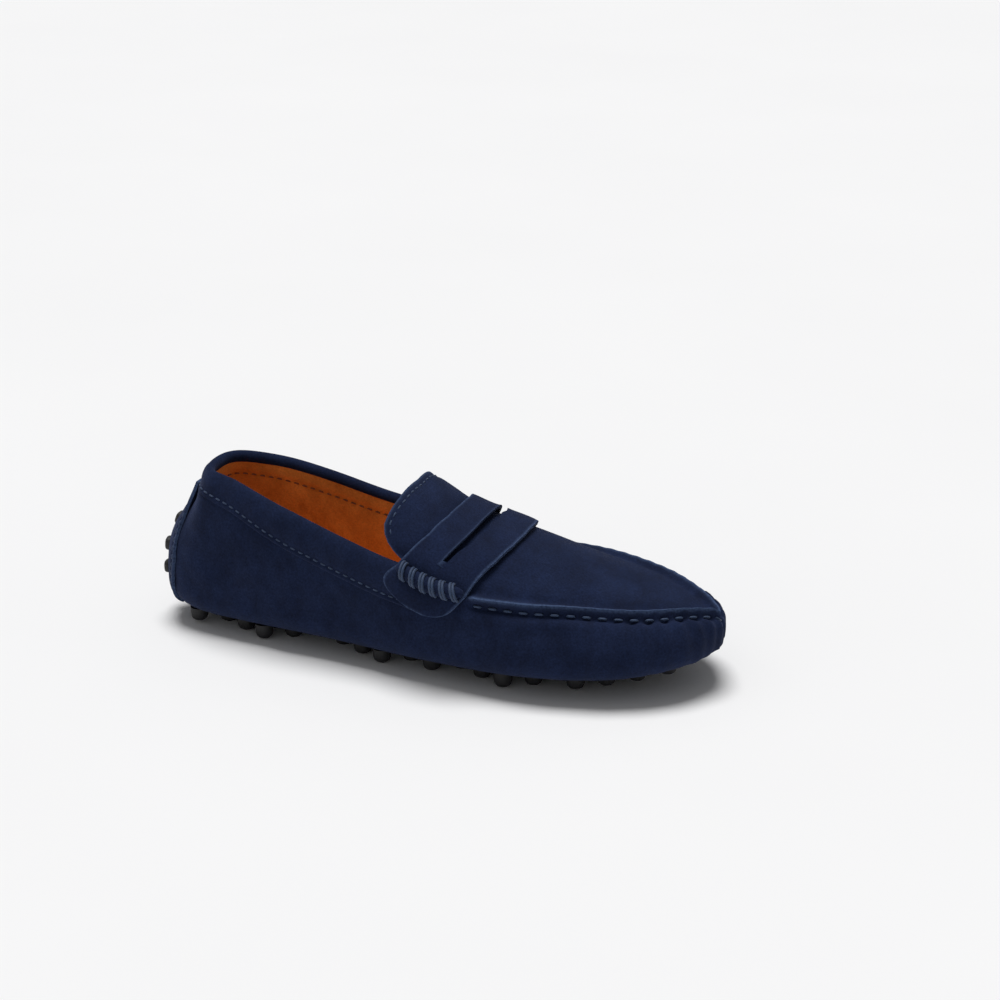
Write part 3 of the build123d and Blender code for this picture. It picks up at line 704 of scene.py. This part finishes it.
# ------------------------------------------------------------------ linings and stiffeners
lining_run = np.concatenate([
    down([0.6, 2.5, 4, 6, 8, 10, 11, 12, 14, 17]), under(COLLAR_DEPTH, np.linspace(0.05, 0.62, 14)),
], 1)
lining_points = skin.at(lining_run)
lining_lift = -0.55 * np.exp(-((EDGE - lining_run - 7) / 2.6) ** 2) + 0.18 * soft_waves(lining_points, 22)
lining_lift = lining_lift + 0.5 * np.exp(-((EDGE - lining_run - 11) / 0.8) ** 2)
lining = panel(
    "quarter_lining_leather", REAR_LINING, lining_run, (-3.0 + 0 * lining_run, LINING_AT + lining_lift), tan)
lining_row = skin.at(EDGE - 11, LINING_AT - 0.1 + 0 * EDGE)[REAR][:, 0]
lining_thread = tubes("lining_stitches", dashes(lining_row, STITCH_PITCH, 2.8), 0.4, tan_thread)



def under_groove(run):
    """How far a layer drops to stay under the groove of the moc seam."""
    return -2.3 * np.exp(-((EDGE - run - 3.7) / 3.4) ** 2)


seam_rows = down([12, 8, 6, 4, 2, 0])
front_run = np.concatenate([
    under(COLLAR_DEPTH, np.linspace(0.5, 0, 8)), seam_rows, over(0, np.linspace(0.1, 1, 10)),
], 1)
front_dip = under_groove(front_run)
vamp = panel(
    "vamp_lining_leather", FRONT, front_run, (front_dip - 3.1, front_dip + LINING_AT), tan,
    joined=[front_run.shape[1] - 1])
sock_run = under(COLLAR_DEPTH, np.linspace(0.4, 1, 14))
sock_lift = -5.0 + 0.25 * soft_waves(skin.at(sock_run), 30)
sock = panel(
    "sock_leather", slice(None), sock_run, (-3.9 + 0 * sock_run, sock_lift), tan, joined=[13], loop=True)
board_run = under(COLLAR_DEPTH, np.linspace(0.64, 1, 8))
insole = panel("insole_fibreboard", rear_lines(200), board_run, (-2.3, -3.7), board, joined=[7])
counter_run = under(COLLAR_DEPTH, np.linspace(0, 0.4, 8))
counter = panel("heel_counter_board", rear_lines(62), counter_run, (-2.1, -2.9), board)
puff_run = np.concatenate([
    under(COLLAR_DEPTH, [0.2, 0.1, 0]), seam_rows, over(0, np.linspace(0.1, 1, 10)),
], 1)
puff_dip = under_groove(puff_run)
toe_puff = panel(
    "toe_puff_board", front_lines(238), puff_run, (puff_dip - 2.2, puff_dip - 2.9), board,
    joined=[puff_run.shape[1] - 1])


# ------------------------------------------------------------------ heel patch, its studs and the pebbles
def heel_place(turn, tilt, lift):
    """Points of the heel, seen from the middle of the heel at these angles in degrees."""
    turn, tilt, lift = np.broadcast_arrays(np.radians(turn), np.radians(tilt), np.asarray(lift, float))
    start = np.zeros(turn.shape + (3,))
    start[..., 0], start[..., 2] = HEEL_CENTRE, CORE_Z
    way = np.stack([-np.cos(tilt) * np.cos(turn), np.cos(tilt) * np.sin(turn), np.sin(tilt)], -1)
    points = hit(start, way)
    return points + normals_at(points) * lift[..., None]


patch_tilt = np.linspace(-20, 60, 65)[None]
patch_turn = np.interp(patch_tilt, (-20, -12, -5, 15, 35, 52, 60), (18, 26, 29.5, 31, 26.5, 21, 16))
patch_u = np.linspace(-1, 1, 61)[:, None]
patch_rim = np.minimum(
    (1 - np.abs(patch_u)) * patch_turn * 0.8, np.minimum(patch_tilt + 20, 60 - patch_tilt) * 0.8)
patch_lift = 1.9 + 0.5 * np.exp(-patch_rim / 2) - 0.5 * np.exp(-((patch_rim - 2.4) / 0.7) ** 2)
patch_lift = patch_lift + 1.2 * smooth((patch_tilt - 38) / 14) - 0.7 * smooth((-2 - patch_tilt) / 14)
patch = sheet(
    "heel_patch", heel_place(patch_u * patch_turn, patch_tilt, patch_lift),
    heel_place(patch_u * patch_turn, patch_tilt, patch_lift - 1.6), navy,
    edge=np.exp(-(patch_rim / 0.5) ** 2))
row_tilt = np.r_[np.linspace(-9, 56, 40), np.linspace(56, 56, 9)[1:], np.linspace(56, -9, 40)[1:]]
row_side = np.r_[np.full(40, -1.0), np.linspace(-1, 1, 9)[1:], np.full(39, 1.0)]
row_turn = row_side * (np.interp(row_tilt, patch_tilt[0], patch_turn[0]) - 3.2)
row_lift = 1.8 + 1.2 * smooth((row_tilt - 38) / 14) - 0.7 * smooth((-2 - row_tilt) / 14)
patch_row = heel_place(row_turn, row_tilt, row_lift)
patch_thread = tubes("heel_patch_stitches", dashes(patch_row, STITCH_PITCH, 3.0), STITCH_RADIUS, blue_thread)


def domes(name, roots, ways, radius, heights, square=2.6, sides=20):
    """Rounded rubber studs that stand on their roots and point along their ways."""
    points, faces = [], []
    profile_rows = ((1.0, 0.0), (1.0, 0.35), (0.97, 0.62), (0.86, 0.82), (0.66, 0.94), (0.36, 0.99))
    for root, way, height in zip(roots, ways, heights):
        way = way / np.linalg.norm(way)
        side = np.cross(way, (0.0, 1.0, 0.0))
        side /= np.linalg.norm(side)
        other = np.cross(way, side)
        base = len(points)
        for wide, tall in profile_rows:
            for k in range(sides):
                turn = 2 * math.pi * k / sides
                c, s = math.cos(turn), math.sin(turn)
                r = radius * wide / (abs(c) ** square + abs(s) ** square) ** (1 / square)
                points.append(root + side * (r * c) + other * (r * s) + way * (height * tall))
        points.append(root + way * height)
        for i in range(len(profile_rows) - 1):
            for k in range(sides):
                m = (k + 1) % sides
                row = base + i * sides
                faces.append((row + k, row + m, row + sides + m, row + sides + k))
        last = base + (len(profile_rows) - 1) * sides
        for k in range(sides):
            faces.append((last + k, last + (k + 1) % sides, len(points) - 1))
        faces.append(tuple(base + k for k in reversed(range(sides))))
    return new_mesh(name, np.array(points), faces, black_rubber, merge=False, crease=60)


stud_spots = np.array([(0, 30), (-12, 18), (12, 18), (-12, 3), (12, 3), (0, -8)], float)
stud_roots = heel_place(stud_spots[:, 0], stud_spots[:, 1], 1.2)
stud_heights = [2.6] * len(stud_roots)
studs = domes("heel_patch_studs", stud_roots, normals_at(stud_roots), 3.3, stud_heights, square=3.4)


def sole_at(x, y):
    """Height of the underside of the sole leather over x, y."""
    wide = np.where(y < 0, lateral(x), medial(x))
    share = np.minimum(1, np.abs(y) / wide)
    return widest(x) - (widest(x) - keel(x)) * (1 - share ** SOLE_FULLNESS) ** (1 / SOLE_FULLNESS)


def pebble_group(name, x_first, rows, square=2.2):
    roots, heights = [], []
    for row in range(rows):
        x = x_first + row * ROW_PITCH
        spread = 0.56 if x > 246 else 0.68
        for k in range(-8, 9):
            y = (k + row % 2 / 2) * PEBBLE_PITCH
            if -spread * lateral(x) <= y <= spread * medial(x):
                foot = max(0.0, float(keel(x)) - PEBBLE_HEIGHT)
                head = float(sole_at(x, y)) + 0.6
                roots.append((x, y, head))
                heights.append(head - foot)
    ways = np.tile((0.0, 0.0, -1.0), (len(roots), 1))
    return domes(name, np.array(roots), ways, PEBBLE_RADIUS, heights, square)


heel_pebbles = pebble_group("pebbles_heel", 18, 5)
ball_pebbles = pebble_group("pebbles_ball", 97, 9)
toe_pebbles = pebble_group("pebbles_toe", 222, 4)

# ------------------------------------------------------------------ what moves with what
PARTS = (
    (shell, "moccasin_shell", "navy_suede", "flex"),
    (apron, "apron", "navy_suede", "flex"),
    (seam, "apron_seam_thread", "blue_thread", "flex"),
    (vamp, "vamp_lining", "tan_lining", "flex"),
    (sock, "sock_lining", "tan_lining", "flex"),
    (toe_puff, "toe_puff", "fibreboard", "forefoot"),
    (toe_pebbles, "toe_pebbles", "black_rubber", "forefoot"),
    (tongue, "tongue", "navy_suede", "lift"),
    (tongue_under, "tongue_lining", "tan_lining", "lift"),
    (tongue_thread, "tongue_edge_stitching", "blue_thread", "lift"),
    (strap, "saddle_strap", "navy_suede", "rearfoot"),
    (rolls[0], "beef_roll_lateral", "navy_suede", "rearfoot"),
    (rolls[1], "beef_roll_medial", "navy_suede", "rearfoot"),
    (wraps[0], "whipstitch_lateral", "blue_thread", "rearfoot"),
    (wraps[1], "whipstitch_medial", "blue_thread", "rearfoot"),
    (collar, "collar_band", "navy_suede", "rearfoot"),
    (collar_thread, "collar_stitching", "blue_thread", "rearfoot"),
    (lining, "quarter_lining", "tan_lining", "rearfoot"),
    (lining_thread, "lining_stitching", "tan_thread", "rearfoot"),
    (insole, "insole_board", "fibreboard", "rearfoot"),
    (counter, "heel_counter", "fibreboard", "rearfoot"),
    (patch, "heel_tab", "navy_suede", "rearfoot"),
    (studs, "heel_tab_pebbles", "black_rubber", "rearfoot"),
    (patch_thread, "heel_tab_stitching", "blue_thread", "rearfoot"),
    (heel_pebbles, "heel_pebbles", "black_rubber", "rearfoot"),
    (ball_pebbles, "ball_pebbles", "black_rubber", "rearfoot"),
)
for piece, node, slot, moves in PARTS:
    if moves == "flex":
        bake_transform(piece)
    elif moves == "lift":
        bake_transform(piece)
    else:
        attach(piece, moves)
    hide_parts(node)
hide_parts("collar_foam")

# ------------------------------------------------------------------ floor, light and camera
floor_material = Nodes("pale_floor")
floor_tone = floor_material.ramp(
    floor_material.noise(3.0), (0.3, (0.86, 0.86, 0.865)), (0.7, (0.875, 0.875, 0.88)))
floor_material.link(floor_tone, floor_material.shader.inputs["Base Color"])
floor_material.shader.inputs["Roughness"].default_value = 0.9
floor_material.shader.inputs["Specular IOR Level"].default_value = 0.05
floor_mesh = bpy.data.meshes.new("floor")
FLOOR_REACH, FLOOR_DROP = 12, -0.0002    # in metres
floor_corners = [(FLOOR_REACH * x, FLOOR_REACH * y, FLOOR_DROP) for x, y in ((-1, -1), (1, -1), (1, 1), (-1, 1))]
floor_mesh.from_pydata(floor_corners, [], [(0, 1, 2, 3)])
floor_mesh.materials.append(floor_material.material)
floor = bpy.data.objects.new("floor", floor_mesh)
bpy.context.scene.collection.objects.link(floor)

SEEN_GLOW, SOFT_GLOW = 0.93, 0.20    # brightness of the backdrop, as seen and as it lights the shoe
world = bpy.data.worlds.new("studio")
bpy.context.scene.world = world
world.use_nodes = True
background = world.node_tree.nodes["Background"]
background.inputs["Color"].default_value = (1, 1, 1, 1)
seen = world.node_tree.nodes.new("ShaderNodeLightPath").outputs["Is Camera Ray"]
glow = world.node_tree.nodes.new("ShaderNodeMath")
glow.operation = "MULTIPLY_ADD"
glow.inputs[1].default_value, glow.inputs[2].default_value = SEEN_GLOW - SOFT_GLOW, SOFT_GLOW
world.node_tree.links.new(seen, glow.inputs[0])
world.node_tree.links.new(glow.outputs[0], background.inputs["Strength"])


def soft_sun(name, strength, spread, tilt, heading):
    """A wide soft light from far away. Tilt is from straight above; heading is where it comes from."""
    light = bpy.data.lights.new(name, "SUN")
    light.energy = strength
    light.angle = math.radians(spread)
    lamp = bpy.data.objects.new(name, light)
    lamp.rotation_euler = (math.radians(tilt), 0, math.radians(heading))
    bpy.context.scene.collection.objects.link(lamp)


soft_sun("key_above_behind", 2.62, 30, -8, 40)
soft_sun("fill_front", 0.22, 90, 50, -10)

camera_data = bpy.data.cameras.new("camera")
camera_data.lens, camera_data.sensor_width = 90.0, 36.0
camera_data.clip_start, camera_data.clip_end = 0.05, 60
camera = bpy.data.objects.new("camera", camera_data)
camera.location = (0.5129, -1.0522, 0.4989)
camera.rotation_euler = (math.radians(69.5), 0, math.radians(20))
bpy.context.scene.collection.objects.link(camera)
bpy.context.scene.camera = camera
bpy.context.scene.view_settings.view_transform = "Standard"
